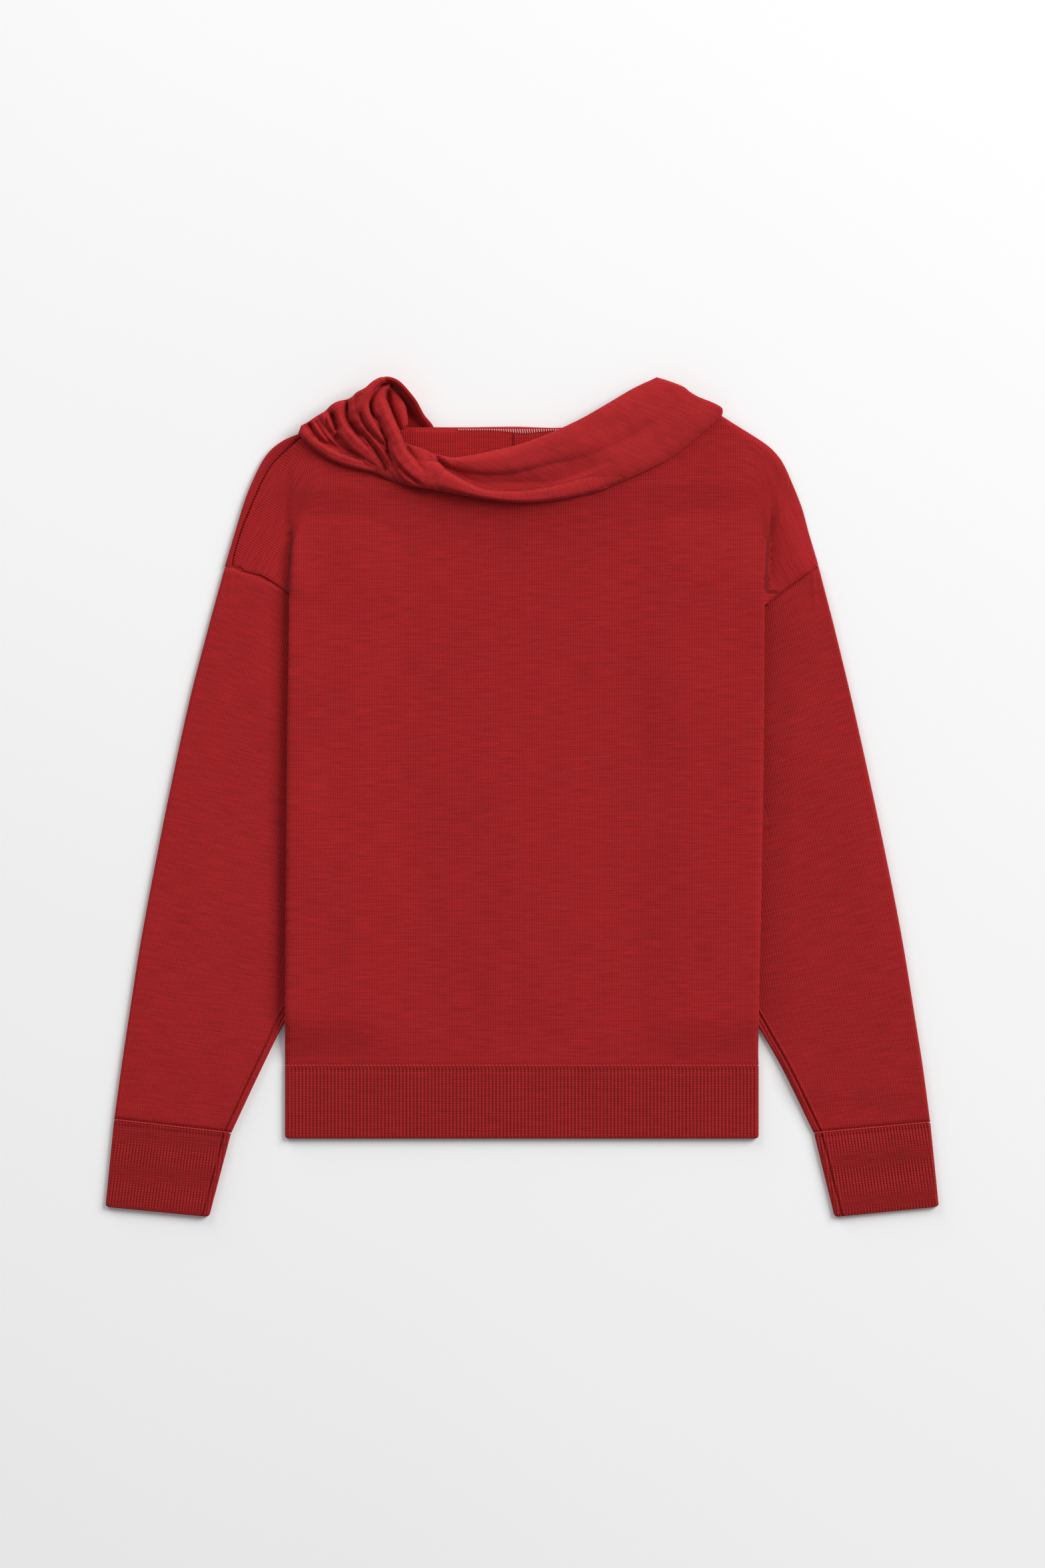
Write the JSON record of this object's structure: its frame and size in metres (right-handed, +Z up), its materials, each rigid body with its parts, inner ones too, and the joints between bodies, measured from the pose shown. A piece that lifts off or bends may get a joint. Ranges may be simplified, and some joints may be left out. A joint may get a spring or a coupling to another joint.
{
  "type": "knit pullover with draped collar",
  "caption": "Fine-knit pullover laid flat, with dropped shoulders, rib hem and cuffs, and a draped collar twisted on the right shoulder.",
  "frame": {"origin": "middle of the garment's outline, on the surface it lies on", "axes": "+Z up from the surface, out of the garment's front; +Y towards the collar; +X towards the wearer's left sleeve"},
  "size_m": [0.6881, 0.693, 0.0255],
  "materials": {
    "body_knit": "matt fine jersey, heathered red",
    "rib_knit": "matt fine rib, heathered red",
    "collar_knit": "matt soft jersey, heathered red"
  },
  "bodies": {
    "root": {"front": "body_knit", "back": "body_knit", "sleeve_right": "body_knit", "sleeve_left": "body_knit", "cuff_right": "rib_knit", "cuff_left": "rib_knit", "hem_rib": "rib_knit", "neck_rib": "rib_knit", "collar_front": "collar_knit", "collar_twist": "collar_knit", "collar_loop": "collar_knit", "collar_back": "collar_knit"}
  },
  "joints": []
}
